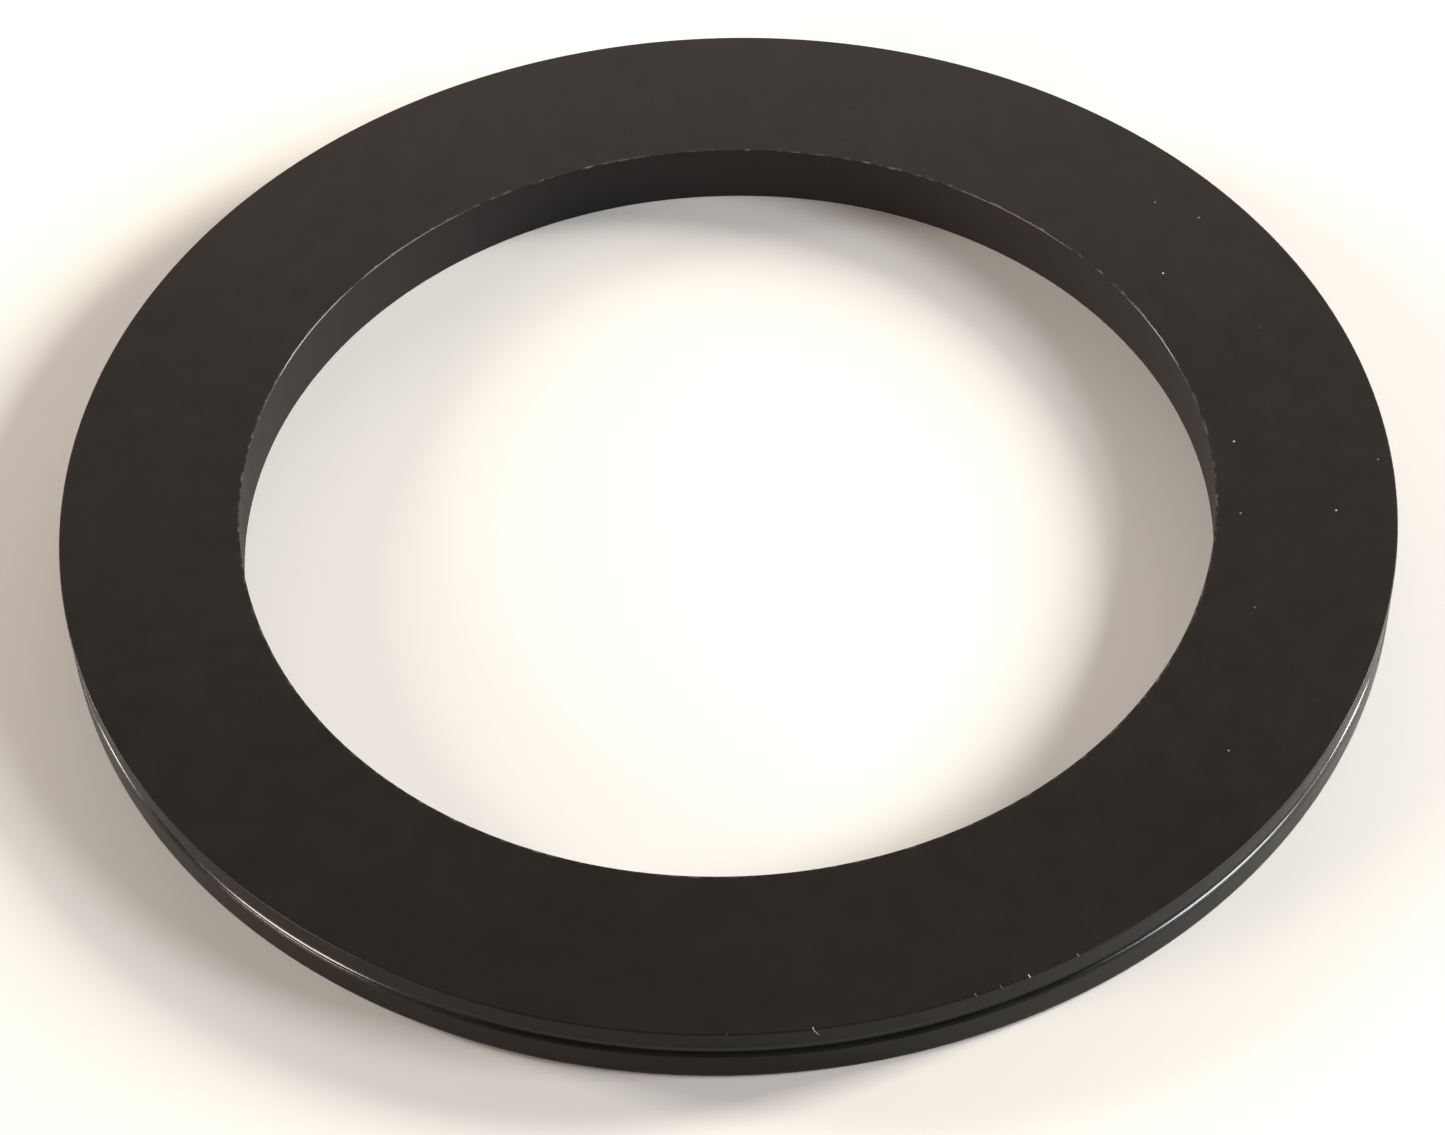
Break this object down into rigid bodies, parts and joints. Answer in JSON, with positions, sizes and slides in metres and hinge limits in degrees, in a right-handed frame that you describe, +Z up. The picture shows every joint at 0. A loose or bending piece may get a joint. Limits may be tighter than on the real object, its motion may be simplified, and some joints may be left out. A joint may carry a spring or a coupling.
{
  "type": "toilet flange",
  "caption": "Flat black plastic floor flange ring with a plain round bore, a rubber seal in its rim groove and a rubber seal let into its underside.",
  "frame": {"origin": "centre of the ring's underside, on the axis of the bore", "axes": "+Z up along the bore axis, from the floor towards the bowl; X and Y are equal, because the ring is round"},
  "size_m": [0.1506, 0.1506, 0.008],
  "materials": {
    "ring_plastic": "satin",
    "seal_rubber": "satin"
  },
  "bodies": {
    "root": {"flange_ring": "ring_plastic", "rim_seal": "seal_rubber", "floor_seal": "seal_rubber"}
  },
  "joints": []
}
